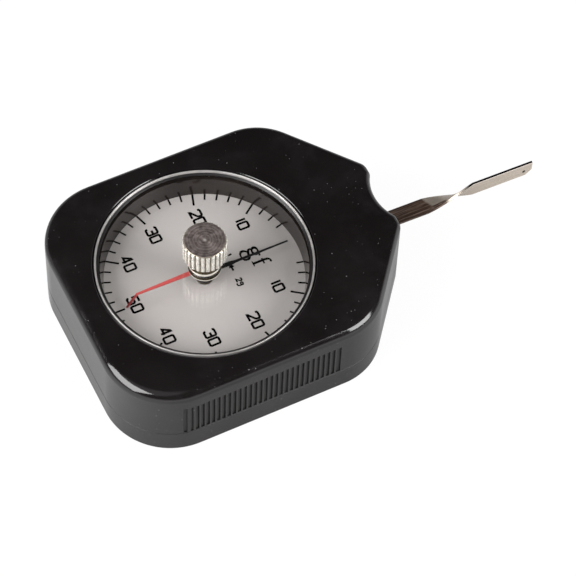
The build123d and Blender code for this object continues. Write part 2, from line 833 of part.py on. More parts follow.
# Sector gear: a toothed rim on two spokes, with a hub on the staff
with BuildPart() as sector_gear:
    root_radius = sector_radius - dedendum_share * gear_module
    rim_inner = root_radius - sector_rim_width
    half = radians(sector_half_angle)
    with BuildSketch(Plane.XY.offset(sector_bottom)) as sector_shape:
        with BuildLine():
            Line((pivot_x, 0), (pivot_x - root_radius * cos(half), root_radius * sin(half)))
            ThreePointArc(
                (pivot_x - root_radius * cos(half), root_radius * sin(half)),
                (pivot_x - root_radius, 0),
                (pivot_x - root_radius * cos(half), -root_radius * sin(half)),
            )
            Line((pivot_x - root_radius * cos(half), -root_radius * sin(half)), (pivot_x, 0))
        make_face()
        # The window between the spokes
        spoke_meet = sector_spoke_width / sin(half)
        with BuildLine():
            reach = sqrt(rim_inner**2 - sector_spoke_width**2)
            corner_x = pivot_x - (reach * cos(half) + sector_spoke_width * sin(half))
            corner_y = reach * sin(half) - sector_spoke_width * cos(half)
            Line((pivot_x - spoke_meet, 0), (corner_x, corner_y))
            ThreePointArc((corner_x, corner_y), (pivot_x - rim_inner, 0), (corner_x, -corner_y))
            Line((corner_x, -corner_y), (pivot_x - spoke_meet, 0))
        make_face(mode=Mode.SUBTRACT)
        with Locations((pivot_x, 0)):
            Circle(sector_hub_radius)
            Circle(staff_radius, mode=Mode.SUBTRACT)
        with BuildLine(mode=Mode.PRIVATE) as tooth_line:
            Polyline(*tooth_outline(sector_full_teeth, sector_radius), close=True)
        tooth_face = make_face(tooth_line.edges(), mode=Mode.PRIVATE)
        for index in range(sector_teeth):
            angle = 180 + (index - (sector_teeth - 1) / 2) * tooth_angle
            add(Pos(pivot_x, 0) * Rot(0, 0, angle) * tooth_face)
    extrude(amount=sector_thickness)
    with BuildSketch(Plane.XY.offset(sector_bottom + sector_thickness)):
        with Locations((pivot_x, 0)):
            Circle(sector_hub_radius)
            Circle(staff_radius, mode=Mode.SUBTRACT)
    extrude(amount=sector_hub_length)
sector_gear.part.label = "sector_gear"
export_step(sector_gear.part, "parts/sector_gear.step")

# Hub on the staff with a seat for the arm
with BuildPart() as arm_hub:
    hub_height = clamp_seat + hub_crown - hub_bottom
    with BuildSketch(Plane.XY.offset(hub_bottom)):
        with Locations((pivot_x, 0)):
            Circle(hub_radius)
    extrude(amount=hub_height)
    with BuildSketch(Plane.XY.offset(hub_bottom)):
        with Locations((pivot_x + hub_reach / 2, 0)):
            Rectangle(hub_reach, 2 * hub_half_width)
    extrude(amount=arm_bottom - hub_bottom)
    # Flat in front of the staff on which the arm and its clamp lie
    with BuildSketch(Plane.XY.offset(arm_bottom)):
        with Locations((arm_root - clamp_edge + hub_reach / 2, 0)):
            Rectangle(hub_reach, 2 * (hub_radius + overrun))
    extrude(amount=hub_height, mode=Mode.SUBTRACT)
    with BuildSketch(Plane.XY.offset(hub_bottom)):
        with Locations((pivot_x, 0)):
            Circle(staff_radius)
    extrude(amount=hub_height, mode=Mode.SUBTRACT)
    with BuildSketch(Plane.XY.offset(hub_bottom)):
        with Locations(clamp_places):
            Circle(small_shank_radius + thread_gap)
    extrude(amount=hub_height, mode=Mode.SUBTRACT)
arm_hub.part.label = "arm_hub"
export_step(arm_hub.part, "parts/arm_hub.step")

# Clamp plate over the arm's root
with BuildPart() as arm_clamp:
    clamp_end = pivot_x + hub_reach
    with BuildSketch(Plane.XY.offset(arm_top)):
        with Locations(((arm_root + clamp_end) / 2, 0)):
            Rectangle(clamp_end - arm_root, 2 * hub_half_width)
        with Locations(clamp_places):
            Circle(small_shank_radius + clearance_gap / 2, mode=Mode.SUBTRACT)
    extrude(amount=clamp_thickness)
    chamfer(arm_clamp.faces().sort_by(Axis.Z)[-1].edges().filter_by(GeomType.LINE), clamp_edge)
arm_clamp.part.label = "arm_clamp"
export_step(arm_clamp.part, "parts/arm_clamp.step")

# Two screws through the clamp and the arm into the hub
with BuildPart() as clamp_screws:
    clamp_screw = Rot(180, 0, 0) * small_screw(clamp_seat - hub_bottom)
    with Locations([(x, y, clamp_seat) for x, y in clamp_places]):
        add(clamp_screw)
clamp_screws.part.label = "clamp_screws"
export_step(clamp_screws.part, "parts/clamp_screws.step")

# Measuring arm: a steel strip, flat at the case, turned on edge towards its tip
# It is clamped leaning a little to one side of the case's middle
with BuildPart() as measuring_arm:
    with BuildSketch(leaned(Plane.XY.offset(arm_bottom))):
        with Locations(((arm_root + twist_start) / 2, 0)):
            Rectangle(twist_start - arm_root, arm_width)
    extrude(amount=arm_thickness)
    for step in range(twist_steps + 1):
        x = twist_start + (twist_end - twist_start) * step / twist_steps
        turn = pi / 2 * step / twist_steps
        with BuildSketch(leaned(Plane((x, 0, arm_height), (0, cos(turn), -sin(turn)), (1, 0, 0)))):
            Rectangle(arm_width, arm_thickness)
    loft()
    with BuildSketch(leaned(Plane.XZ.offset(-arm_thickness / 2))):
        half = arm_width / 2
        with BuildLine():
            Polyline(
                (twist_end, arm_height - half),
                (arm_tip - tip_clip, arm_height - half),
                (arm_tip, arm_height - half + tip_clip),
                (arm_tip, arm_height + half),
                (twist_end, arm_height + half),
                close=True,
            )
        make_face()
    extrude(amount=arm_thickness)
    with BuildSketch(Plane.XY.offset(arm_bottom)):
        with Locations(clamp_places):
            Circle(small_shank_radius + clearance_gap / 2)
    extrude(amount=arm_thickness, mode=Mode.SUBTRACT)
measuring_arm.part.label = "measuring_arm"
export_step(measuring_arm.part, "parts/measuring_arm.step")

# Collet that holds the inner end of the measuring spring on the staff
with BuildPart() as spring_collet:
    with BuildSketch(Plane.XY.offset(collet_bottom)):
        with Locations((pivot_x, 0)):
            Circle(spring_collet_radius)
            Circle(staff_radius, mode=Mode.SUBTRACT)
    extrude(amount=spring_collet_height)
spring_collet.part.label = "spring_collet"
export_step(spring_collet.part, "parts/spring_collet.step")

# Measuring spring: the flat spiral that weighs the pull on the arm
with BuildPart() as measuring_spring:
    with BuildSketch(Plane.XY.offset(spring_level)):
        with Locations((pivot_x, 0)):
            add(spiral_outline(spring_collet_radius, spring_pitch, spring_half_turns, spring_strip))
    extrude(amount=spring_height)
measuring_spring.part.label = "measuring_spring"
export_step(measuring_spring.part, "parts/measuring_spring.step")

# Stud under the movement plate that holds the measuring spring's outer end
with BuildPart() as spring_stud:
    spring_end, spring_way = spiral_end(
        spring_collet_radius, spring_pitch, spring_half_turns, spring_strip
    )
    spring_stud_place = (pivot_x + spring_end, spring_way * (stud_length / 2 + clearance_gap))
    with BuildSketch(Plane.XY.offset(spring_level)):
        with Locations(spring_stud_place):
            Rectangle(stud_width, stud_length)
    extrude(amount=plate_bottom - spring_level)
    with BuildSketch(Plane.XY.offset(spring_level)):
        with Locations(spring_stud_place):
            Rectangle(spring_strip + 2 * stud_slot_gap, stud_length)
    extrude(amount=spring_height + stud_slot_gap, mode=Mode.SUBTRACT)
spring_stud.part.label = "spring_stud"
export_step(spring_stud.part, "parts/spring_stud.step")

# Bush with a broad flange, pressed in the crystal's hole
with BuildPart() as crystal_bush:
    with BuildSketch(Plane.XY.offset(crystal_seat)):
        Circle(bush_radius)
    extrude(amount=crystal_thickness)
    with BuildSketch(Plane.XY.offset(ring_seat)):
        Circle(bush_flange_radius)
    extrude(amount=bush_flange_height)
    with BuildSketch(Plane.XY.offset(crystal_seat)):
        Circle(spindle_radius + running_gap)
    extrude(amount=crystal_thickness + bush_flange_height, mode=Mode.SUBTRACT)
crystal_bush.part.label = "crystal_bush"
export_step(crystal_bush.part, "parts/crystal_bush.step")

# Knob: a fluted head on a plain neck, bored for the spindle
with BuildPart() as knob:
    with BuildSketch(Plane.XY.offset(knob_bottom)):
        Circle(knob_radius)
    extrude(amount=knob_height)
    chamfer(knob.faces().sort_by(Axis.Z)[-1].edges(), knob_chamfer)
    with BuildSketch(Plane.XY.offset(knob_bottom)):
        with PolarLocations(knob_radius + flute_sink, flute_count, start_angle=flute_start):
            Circle(flute_radius)
    extrude(amount=knob_height, mode=Mode.SUBTRACT)
    with BuildSketch(Plane.XY.offset(neck_bottom)):
        Circle(neck_radius)
    extrude(amount=neck_length)
    with BuildSketch(Plane.XY.offset(neck_bottom)):
        Circle(spindle_radius)
    extrude(amount=spindle_grip, mode=Mode.SUBTRACT)
knob.part.label = "knob"
export_step(knob.part, "parts/knob.step")

# Spindle that joins the knob to the drag pointer's hub
with BuildPart() as knob_spindle:
    spindle_bottom = drag_top - drag_boss_height - spindle_nose
    with BuildSketch(Plane.XY.offset(spindle_bottom)):
        Circle(spindle_radius)
    extrude(amount=neck_bottom + spindle_grip - spindle_bottom)
knob_spindle.part.label = "knob_spindle"
export_step(knob_spindle.part, "parts/knob_spindle.step")

# Friction washer between the crystal and the drag pointer's hub
with BuildPart() as friction_washer:
    with BuildSketch(Plane.XY.offset(drag_hub_top)):
        Circle(washer_radius)
        Circle(spindle_radius + thread_gap, mode=Mode.SUBTRACT)
    extrude(amount=washer_thickness)
friction_washer.part.label = "friction_washer"
export_step(friction_washer.part, "parts/friction_washer.step")

# Hub of the drag pointer, pressed on the spindle
with BuildPart() as drag_hub:
    with BuildSketch(Plane.XY.offset(drag_hub_top - drag_hub_disc)):
        Circle(drag_hub_radius)
    extrude(amount=drag_hub_disc)
    with BuildSketch(Plane.XY.offset(drag_hub_top - drag_hub_disc)):
        Circle(drag_boss_radius)
    extrude(amount=-drag_boss_height)
    with BuildSketch(Plane.XY.offset(drag_hub_top)):
        Circle(spindle_radius)
    extrude(amount=-(drag_hub_disc + drag_boss_height), mode=Mode.SUBTRACT)
drag_hub.part.label = "drag_hub"
export_step(drag_hub.part, "parts/drag_hub.step")

# Drag pointer: a tapered strip whose end is bent down as a catch
with BuildPart() as drag_pointer:
    drag_bend = well_foot_radius - drag_end_gap
    drag_catch = drag_bend + drag_lean
    catch_bottom = dial_top + catch_gap
    with BuildSketch(Plane.XY.offset(drag_top - drag_thickness)):
        Circle(drag_ring_radius)
        with BuildLine():
            Polyline(
                (0, drag_root_width / 2),
                (-drag_bend, drag_tip_width / 2),
                (-drag_bend, -drag_tip_width / 2),
                (0, -drag_root_width / 2),
                close=True,
            )
        make_face()
        Circle(drag_boss_radius, mode=Mode.SUBTRACT)
    extrude(amount=drag_thickness)
    with BuildSketch(Plane.XZ.offset(-drag_tip_width / 2)):
        with BuildLine():
            Polyline(
                (-drag_bend + drag_thickness, drag_top),
                (-drag_bend, drag_top),
                (-drag_catch, catch_bottom),
                (-drag_catch + drag_thickness, catch_bottom),
                (-drag_bend + drag_thickness, drag_top - drag_thickness),
                close=True,
            )
        make_face()
    extrude(amount=drag_tip_width)
drag_pointer.part.label = "drag_pointer"
export_step(drag_pointer.part, "parts/drag_pointer.step")
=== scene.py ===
import json
import math

import bmesh
import bpy
from mathutils import Matrix, Vector


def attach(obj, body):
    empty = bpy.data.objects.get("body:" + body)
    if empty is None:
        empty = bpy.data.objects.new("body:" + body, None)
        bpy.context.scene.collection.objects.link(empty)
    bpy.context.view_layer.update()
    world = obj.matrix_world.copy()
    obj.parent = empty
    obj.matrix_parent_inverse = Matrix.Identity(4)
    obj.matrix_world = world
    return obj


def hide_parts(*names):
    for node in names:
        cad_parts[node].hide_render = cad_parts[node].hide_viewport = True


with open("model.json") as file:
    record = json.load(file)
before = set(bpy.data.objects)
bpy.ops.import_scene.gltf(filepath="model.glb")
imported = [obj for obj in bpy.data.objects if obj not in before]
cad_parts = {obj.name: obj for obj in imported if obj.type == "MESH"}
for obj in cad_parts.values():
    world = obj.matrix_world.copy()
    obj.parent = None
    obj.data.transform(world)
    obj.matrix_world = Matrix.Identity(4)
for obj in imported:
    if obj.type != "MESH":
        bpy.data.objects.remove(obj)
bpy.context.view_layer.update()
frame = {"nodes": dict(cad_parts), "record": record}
MM = 0.001


# Material graphs. Places are in millimetres of the object's own frame.
class Graph:
    def __init__(self, name):
        self.material = bpy.data.materials.new(name)
        self.material.use_nodes = True
        self.tree = self.material.node_tree
        self.tree.nodes.clear()
        coordinates = self.tree.nodes.new("ShaderNodeTexCoord")
        self.place = self.stretch((1000, 1000, 1000), coordinates.outputs["Object"])

    def make(self, kind, settings=None, sockets=None):
        made = self.tree.nodes.new("ShaderNode" + kind)
        for key, value in (settings or {}).items():
            setattr(made, key, value)
        for key, value in (sockets or {}).items():
            self.put(made.inputs[key], value)
        return made

    def put(self, socket, value):
        if isinstance(value, bpy.types.NodeSocket):
            self.tree.links.new(value, socket)
        else:
            socket.default_value = value

    def stretch(self, scale, source=None):
        made = self.make("Mapping", {"vector_type": "POINT"}, {"Vector": source or self.place})
        made.inputs["Scale"].default_value = scale
        return made.outputs["Vector"]

    def noise(self, scale, detail=3.0, stretch=None, rough=0.55):
        place = self.stretch(stretch) if stretch else self.place
        sockets = {"Vector": place, "Scale": scale, "Detail": detail, "Roughness": rough}
        return self.make("TexNoise", None, sockets).outputs["Fac"]

    def span(self, value, low, high, out_low=0.0, out_high=1.0):
        sockets = {"Value": value, "From Min": low, "From Max": high, "To Min": out_low, "To Max": out_high}
        return self.make("MapRange", None, sockets).outputs["Result"]

    def maths(self, operation, first, second=0.0):
        made = self.make("Math", {"operation": operation})
        self.put(made.inputs[0], first)
        self.put(made.inputs[1], second)
        return made.outputs[0]

    def blend(self, share, first, second):
        made = self.make("Mix", {"data_type": "RGBA"})
        self.put(made.inputs[0], share)
        self.put(made.inputs[6], first)
        self.put(made.inputs[7], second)
        return made.outputs[2]

    def axis(self, name):
        return self.make("SeparateXYZ", None, {"Vector": self.place}).outputs[name]

    def distance(self):
        flat = self.stretch((1, 1, 0))
        return self.make("VectorMath", {"operation": "LENGTH"}, {0: flat}).outputs["Value"]

    def bump(self, height, depth, strength=1.0, normal=None):
        made = self.make("Bump", None, {"Height": height, "Distance": depth * MM, "Strength": strength})
        if normal:
            self.put(made.inputs["Normal"], normal)
        return made.outputs["Normal"]

    def band(self, value, middle, reach):
        """1 where the value is within reach of the middle, else 0."""
        return self.make("Math", {"operation": "COMPARE"}, {0: value, 1: middle, 2: reach}).outputs[0]

    def upward(self):
        normal = self.make("NewGeometry").outputs["Normal"]
        return self.make("SeparateXYZ", None, {"Vector": normal}).outputs["Z"]

    def close(self, shader):
        self.make("OutputMaterial", None, {"Surface": shader})
        return self.material

    def surface(self, **sockets):
        names = {"color": "Base Color", "metallic": "Metallic", "roughness": "Roughness", "normal": "Normal",
                 "ior": "IOR", "specular": "Specular IOR Level", "anisotropic": "Anisotropic",
                 "tangent": "Tangent"}
        shader = self.make("BsdfPrincipled", None, {names[key]: value for key, value in sockets.items()})
        return self.close(shader.outputs["BSDF"])


def case_plastic():
    """Black gloss moulding, smeared and dusty, and matt where dirt sits: in its seam and grip grooves."""
    g = Graph("case_plastic")
    cloud = g.span(g.noise(0.06, 4), 0.35, 0.65)
    base = g.blend(cloud, (0.0042, 0.0032, 0.0034, 1), (0.0064, 0.0052, 0.0054, 1))
    film = g.span(g.noise(0.1, 5, None, 0.65), 0.5, 0.72)
    base = g.blend(g.maths("MULTIPLY", film, 0.3), base, (0.015, 0.014, 0.015, 1))
    cells = g.make("TexVoronoi", {"feature": "F1"}, {"Vector": g.place, "Scale": 1.1, "Randomness": 1.0})
    size = g.span(g.noise(1.1, 1), 0.5, 0.72, 0.0, 0.2)
    speck = g.span(g.maths("SUBTRACT", size, cells.outputs["Distance"]), 0.0, 0.05)
    base = g.blend(g.maths("MULTIPLY", speck, 0.8), base, (0.09, 0.09, 0.088, 1))
    rough = g.span(g.noise(0.11, 5), 0.3, 0.7, 0.07, 0.15)
    rough = g.maths("ADD", rough, g.maths("MULTIPLY", speck, 0.3))
    seam = g.band(g.axis("Z"), 7.0, 0.24)
    rough = g.maths("ADD", rough, g.maths("MULTIPLY", seam, 0.45))
    grip = g.maths("MULTIPLY", g.band(g.axis("Z"), 12.4, 5.35), g.band(g.axis("X"), 0.0, 20.05))
    deep = g.span(g.maths("ABSOLUTE", g.axis("Y")), 31.36, 31.66, 0.34, 0.0)
    rough = g.maths("ADD", rough, g.maths("MULTIPLY", grip, deep))
    skin = g.bump(g.noise(2.2, 2), 0.012, 0.5)
    skin = g.bump(g.noise(0.16, 2), 0.05, 0.5, skin)
    return g.surface(color=base, roughness=rough, normal=skin, ior=1.58)


def well_plastic():
    """The polished wall of the window, which mirrors the edge of the dial."""
    g = Graph("well_plastic")
    cloud = g.span(g.noise(0.12, 3), 0.35, 0.65)
    # Painted reflection: the wall is painted browner and lighter than the case's black plastic, as the warm
    # light of the dial that it mirrors.
    base = g.blend(cloud, (0.010, 0.0075, 0.0068, 1), (0.019, 0.0145, 0.013, 1))
    lines = g.noise(1.0, 3, (0.3, 0.3, 6))
    rough = g.span(lines, 0.3, 0.7, 0.07, 0.13)
    return g.surface(color=base, roughness=rough, normal=g.bump(lines, 0.002, 0.4), ior=1.52)


def metal(name, light, dark, rough, stretch, scale, spots=None):
    """Metal brushed along the axis that the stretch gives least."""
    g = Graph(name)
    grain = g.noise(scale, 4, stretch, 0.6)
    cloud = g.noise(0.3, 3)
    tone = g.maths("ADD", g.maths("MULTIPLY", grain, 0.6), g.maths("MULTIPLY", cloud, 0.4))
    base = g.blend(g.span(tone, 0.35, 0.65), dark + (1,), light + (1,))
    if spots:
        stain = g.span(g.noise(0.8, 5, None, 0.65), 0.58, 0.7)
        base = g.blend(g.maths("MULTIPLY", stain, 0.6), base, spots + (1,))
    rough = g.span(grain, 0.3, 0.7, *rough)
    return g.surface(color=base, metallic=1.0, roughness=rough, normal=g.bump(grain, 0.004, 0.6))


def turned(name, light, dark, rough, pitch, depth, metallic=1.0, spots=None):
    """Metal with fine lathe rings round the object's own Z axis."""
    g = Graph(name)
    rings = g.maths("SINE", g.maths("MULTIPLY", g.distance(), 2 * math.pi / pitch))
    lines = g.noise(1.0, 3, (0.6, 0.6, 9))
    cloud = g.noise(0.5, 4)
    tone = g.maths("ADD", cloud, g.maths("MULTIPLY", lines, 0.4))
    base = g.blend(g.span(tone, 0.5, 0.9), dark + (1,), light + (1,))
    if spots:
        stain = g.span(g.noise(1.1, 5, None, 0.65), 0.55, 0.7)
        base = g.blend(g.maths("MULTIPLY", stain, 0.55), base, spots + (1,))
    height = g.maths("ADD", g.maths("MULTIPLY", rings, 0.5), lines)
    rough = g.span(cloud, 0.3, 0.7, *rough)
    return g.surface(color=base, metallic=metallic, roughness=rough, normal=g.bump(height, depth, 0.6))


def dial_silver():
    """Satin silver paint with a fine grain, with painted shade that makes it a little darker towards the
    arm.
    """
    g = Graph("dial_silver")
    grain = g.noise(5.0, 3)
    cloud = g.noise(0.07, 3)
    # Painted shade: the silver is blended darker towards the arm, along +X.
    painted_shade_drift = g.span(g.maths("ADD", g.axis("X"), g.maths("MULTIPLY", cloud, 12.0)), -16, 28)
    base = g.blend(painted_shade_drift, (0.435, 0.404, 0.394, 1), (0.332, 0.308, 0.300, 1))
    base = g.blend(g.span(grain, 0.35, 0.65, 0.0, 0.3), base, (0.44, 0.408, 0.397, 1))
    speck = g.span(g.noise(1.7, 2), 0.71, 0.76)
    base = g.blend(g.maths("MULTIPLY", speck, 0.3), base, (0.2, 0.18, 0.17, 1))
    rough = g.span(grain, 0.3, 0.7, 0.42, 0.56)
    return g.surface(color=base, metallic=0.12, roughness=rough, normal=g.bump(grain, 0.006, 0.5))


def paint(name, light, dark, rough, specular):
    g = Graph(name)
    grain = g.noise(3.0, 4)
    base = g.blend(g.span(grain, 0.35, 0.65), dark + (1,), light + (1,))
    rough = g.span(grain, 0.3, 0.7, *rough)
    return g.surface(color=base, specular=specular, roughness=rough, normal=g.bump(grain, 0.01, 0.4))


def red_paint():
    """The drag pointer's paint, darker beyond the bend of its end."""
    g = Graph("pointer_red")
    grain = g.noise(3.0, 4)
    base = g.blend(g.span(grain, 0.35, 0.65), (0.36, 0.048, 0.047, 1), (0.43, 0.06, 0.057, 1))
    base = g.blend(g.span(g.distance(), 17.3, 17.8, 0.0, 0.8), base, (0.20, 0.02, 0.022, 1))
    rough = g.span(grain, 0.3, 0.7, 0.38, 0.5)
    return g.surface(color=base, roughness=rough, normal=g.bump(grain, 0.01, 0.4))


def knob_side():
    """Bright ridges with darker grooves between them, told apart by their distance from the axis."""
    g = Graph("knob_side")
    lines = g.noise(1.0, 3, (2.0, 2.0, 0.5))
    cloud = g.noise(0.9, 3)
    base = g.blend(g.span(cloud, 0.35, 0.65), (0.80, 0.77, 0.70, 1), (0.90, 0.88, 0.82, 1))
    outer = g.maths("ADD", g.distance(), g.maths("MULTIPLY", lines, 0.04))
    base = g.blend(g.span(outer, 4.94, 5.16), (0.24, 0.215, 0.165, 1), base)
    rough = g.span(lines, 0.3, 0.7, 0.24, 0.32)
    return g.surface(color=base, metallic=0.6, roughness=rough, normal=g.bump(lines, 0.001, 0.4))


def nickel_painted_shade():
    """Plated parts under the knob: their rims bright, their flat tops a dim mirror painted dark as shade and
    reflection under the knob's head.
    """
    g = Graph("nickel_painted_shade")
    cloud = g.noise(0.9, 4)
    # Painted shade: faces that look up are painted dark, as shade and reflection under the knob's head.
    flat = g.span(g.upward(), 0.5, 0.8)
    base = g.blend(g.span(cloud, 0.35, 0.65), (0.74, 0.71, 0.63, 1), (0.84, 0.81, 0.73, 1))
    base = g.blend(g.maths("MULTIPLY", flat, 0.85), base, (0.26, 0.22, 0.16, 1))
    mirror = g.span(flat, 0.0, 1.0, 0.55, 1.0)
    rough = g.span(cloud, 0.3, 0.7, 0.16, 0.26)
    return g.surface(color=base, metallic=mirror, roughness=rough, normal=g.bump(cloud, 0.002, 0.4))


def knob_face():
    """Faced end of the knob: concentric tool rings that catch the light in a bow, on a colour painted far
    darker than the ridges' as shade.
    """
    g = Graph("knob_face")
    across = g.maths("ADD", g.distance(), g.maths("MULTIPLY", g.noise(0.5, 3), 0.7))
    rings = g.maths("SINE", g.maths("MULTIPLY", across, 2 * math.pi / 0.71))
    fine = g.maths("SINE", g.maths("MULTIPLY", g.distance(), 2 * math.pi / 0.43))
    rings = g.maths("ADD", g.maths("MULTIPLY", rings, 0.7), g.maths("MULTIPLY", fine, 0.3))
    cloud = g.noise(0.8, 5, None, 0.75)
    tone = g.maths("ADD", g.maths("MULTIPLY", rings, 0.09), cloud)
    # Painted shade: the face's colour is made far darker than the ridges' of the same metal, as the dark
    # room it faces.
    base = g.blend(g.span(tone, 0.3, 0.72), (0.095, 0.072, 0.066, 1), (0.34, 0.29, 0.272, 1))
    base = g.blend(g.span(g.distance(), 0.2, 0.5, 0.7, 0.0), base, (0.8, 0.75, 0.72, 1))
    rough = g.span(cloud, 0.3, 0.7, 0.3, 0.42)
    round_axis = g.make("Tangent", {"direction_type": "RADIAL", "axis": "Z"}).outputs[0]
    return g.surface(color=base, metallic=0.75, roughness=rough, anisotropic=0.75, tangent=round_axis,
                     normal=g.bump(rings, 0.012, 0.6))


def crystal_clear():
    """Clear crystal, faintly smeared. It throws no shadow on the dial."""
    g = Graph("crystal_clear")
    ripple = g.bump(g.noise(0.12, 2), 0.01, 0.2)
    smear = g.span(g.noise(0.25, 5), 0.35, 0.7, 0.015, 0.06)
    clear = g.make("BsdfTransparent", None, {"Color": (0.985, 0.988, 0.985, 1)})
    tint = (0.95, 0.95, 0.95, 1)
    gloss = g.make("BsdfGlossy", None, {"Color": tint, "Roughness": smear, "Normal": ripple})
    facing = g.make("LayerWeight", None, {"Blend": 0.5}).outputs["Facing"]
    edge = g.maths("MULTIPLY", g.maths("POWER", facing, 5.0), 0.9)
    share = g.maths("ADD", edge, 0.035)
    lamps = g.maths("SUBTRACT", 1.0, g.make("LightPath").outputs["Is Shadow Ray"])
    share = g.maths("MULTIPLY", share, lamps)
    mixed = g.make("MixShader", None, {0: share, 1: clear.outputs[0], 2: gloss.outputs[0]})
    return g.close(mixed.outputs[0])


def arm_steel():
    """Rolled strip: streaked and brownish near the case, painted dark there as shade up to the twist, bright
    beyond; a painted highlight runs under its blade's top edge, and the top edge is painted black as a dark
    reflection.
    """
    g = Graph("arm_steel")
    streak = g.noise(1.0, 5, (0.1, 3.0, 3.0), 0.7)
    fine = g.noise(1.0, 3, (0.5, 14, 14), 0.6)
    along = g.axis("X")
    # Painted shade: near the case, and along its near side, the strip is painted dark brown, up to a line
    # across the twist where its reflection turns from dark to bright.
    border = g.maths("ADD", along, g.maths("MULTIPLY", g.axis("Y"), 0.43))
    border = g.maths("ADD", border, g.maths("MULTIPLY", fine, 0.8))
    root_shade_mask = g.span(border, 59.2, 59.9, 1.0, 0.0)
    edge = g.span(g.axis("Y"), -1.75, -1.55, 1.0, 0.0)
    edge = g.maths("MULTIPLY", edge, g.span(along, 63.0, 63.6, 1.0, 0.0))
    root_shade_mask = g.maths("MAXIMUM", root_shade_mask, edge)
    bright = g.blend(g.span(streak, 0.3, 0.7), (0.44, 0.375, 0.31, 1), (0.52, 0.455, 0.39, 1))
    root_shade_tones = g.blend(g.span(streak, 0.42, 0.64), (0.06, 0.034, 0.024, 1), (0.24, 0.175, 0.14, 1))
    base = g.blend(root_shade_mask, bright, root_shade_tones)
    # Painted highlight: a pale line along the blade's sides just under its top edge.
    painted_edge_highlight = g.span(g.axis("Z"), 11.95, 12.15)
    blade = g.span(along, 68.0, 70.0)
    base = g.blend(g.maths("MULTIPLY", g.maths("MULTIPLY", painted_edge_highlight, blade), 0.7), base, (0.88, 0.78, 0.72, 1))
    # Painted reflection: faces of the blade that look up are painted black, as the dark room they mirror.
    black = g.maths("MULTIPLY", g.span(g.upward(), 0.75, 0.9), blade)
    base = g.blend(black, base, (0.004, 0.003, 0.003, 1))
    spot = g.span(g.noise(1.4, 3), 0.72, 0.76)
    base = g.blend(g.maths("MULTIPLY", spot, 0.5), base, (0.09, 0.07, 0.06, 1))
    flat = g.stretch((1, 0, 1))
    spot = g.make("VectorMath", {"operation": "DISTANCE"}, {0: flat, 1: (84.9, 0, 9.75)}).outputs["Value"]
    base = g.blend(g.span(spot, 0.34, 0.5, 1.0, 0.0), base, (0.006, 0.005, 0.005, 1))
    mirror = g.span(root_shade_mask, 0.0, 1.0, 0.75, 0.6)
    rough = g.span(streak, 0.3, 0.7, 0.27, 0.42)
    skin = g.bump(g.maths("ADD", streak, fine), 0.008, 0.6)
    return g.surface(color=base, metallic=mirror, roughness=rough, normal=skin)


finishes = {
    "case_plastic": case_plastic(),
    "ring_chrome": turned("ring_chrome", (0.50, 0.482, 0.47), (0.40, 0.385, 0.375), (0.34, 0.44),
                          0.09, 0.001, 0.7),
    "crystal_clear": crystal_clear(),
    "dial_silver": dial_silver(),
    "plate_brass": metal("plate_brass", (0.78, 0.60, 0.30), (0.62, 0.45, 0.20), (0.25, 0.4),
                         (1, 8, 1), 0.9, (0.35, 0.22, 0.10)),
    "steel": metal("steel", (0.60, 0.60, 0.61), (0.42, 0.42, 0.43), (0.18, 0.3), (1, 1, 6), 1.4),
    "spring_steel": metal("spring_steel", (0.30, 0.32, 0.42), (0.15, 0.16, 0.24), (0.2, 0.32),
                          (1, 1, 5), 1.2),
    "arm_steel": arm_steel(),
    "screw_zinc": turned("screw_zinc", (0.66, 0.66, 0.64), (0.46, 0.46, 0.44), (0.22, 0.36),
                         0.25, 0.004, 1.0, (0.20, 0.17, 0.12)),
    "pointer_black": paint("pointer_black", (0.007, 0.006, 0.006), (0.003, 0.0025, 0.0025),
                           (0.45, 0.6), 0.2),
    "pointer_red": red_paint(),
    "knob_nickel": turned("knob_nickel", (0.84, 0.81, 0.73), (0.66, 0.62, 0.54), (0.2, 0.3),
                          0.21, 0.002, 0.65),
}
dial_ink = paint("dial_ink", (0.003, 0.0025, 0.0025), (0.001, 0.001, 0.001), (0.6, 0.75), 0.0)
ring_lip = paint("ring_lip", (0.010, 0.009, 0.009), (0.006, 0.005, 0.005), (0.3, 0.4), 0.4)
under_knob = nickel_painted_shade()

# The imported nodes: their finish, and normals that keep their edges crisp
slot_of = {entry["node"]: entry["material_slot"] for entry in frame["record"]["subparts"]}
for name, node in frame["nodes"].items():
    # The bush and drag hub under the knob get the nickel with painted shade on its flat tops.
    shaded_under_knob = name in ("crystal_bush", "drag_hub")
    node.data.materials.clear()
    node.data.materials.append(under_knob if shaded_under_knob else finishes[slot_of[name]])
    for polygon in node.data.polygons:
        polygon.use_smooth = True
    weld = node.modifiers.new("weld", "WELD")
    weld.merge_threshold = 1e-6
    split = node.modifiers.new("split", "EDGE_SPLIT")
    split.split_angle = math.radians(30)
    even = node.modifiers.new("even", "WEIGHTED_NORMAL")
    even.mode = "FACE_AREA"
    even.keep_sharp = True

# The window's wall and the crystal's seat have their own finish
front = frame["nodes"]["front_case"]
well_reach = 25.4
well_foot = 15.5
well_top = 22.38
front.data.materials.append(well_plastic())
for polygon in front.data.polygons:
    across = math.hypot(polygon.center.x, polygon.center.y)
    if across < well_reach * MM and well_foot * MM < polygon.center.z < well_top * MM:
        polygon.material_index = 1


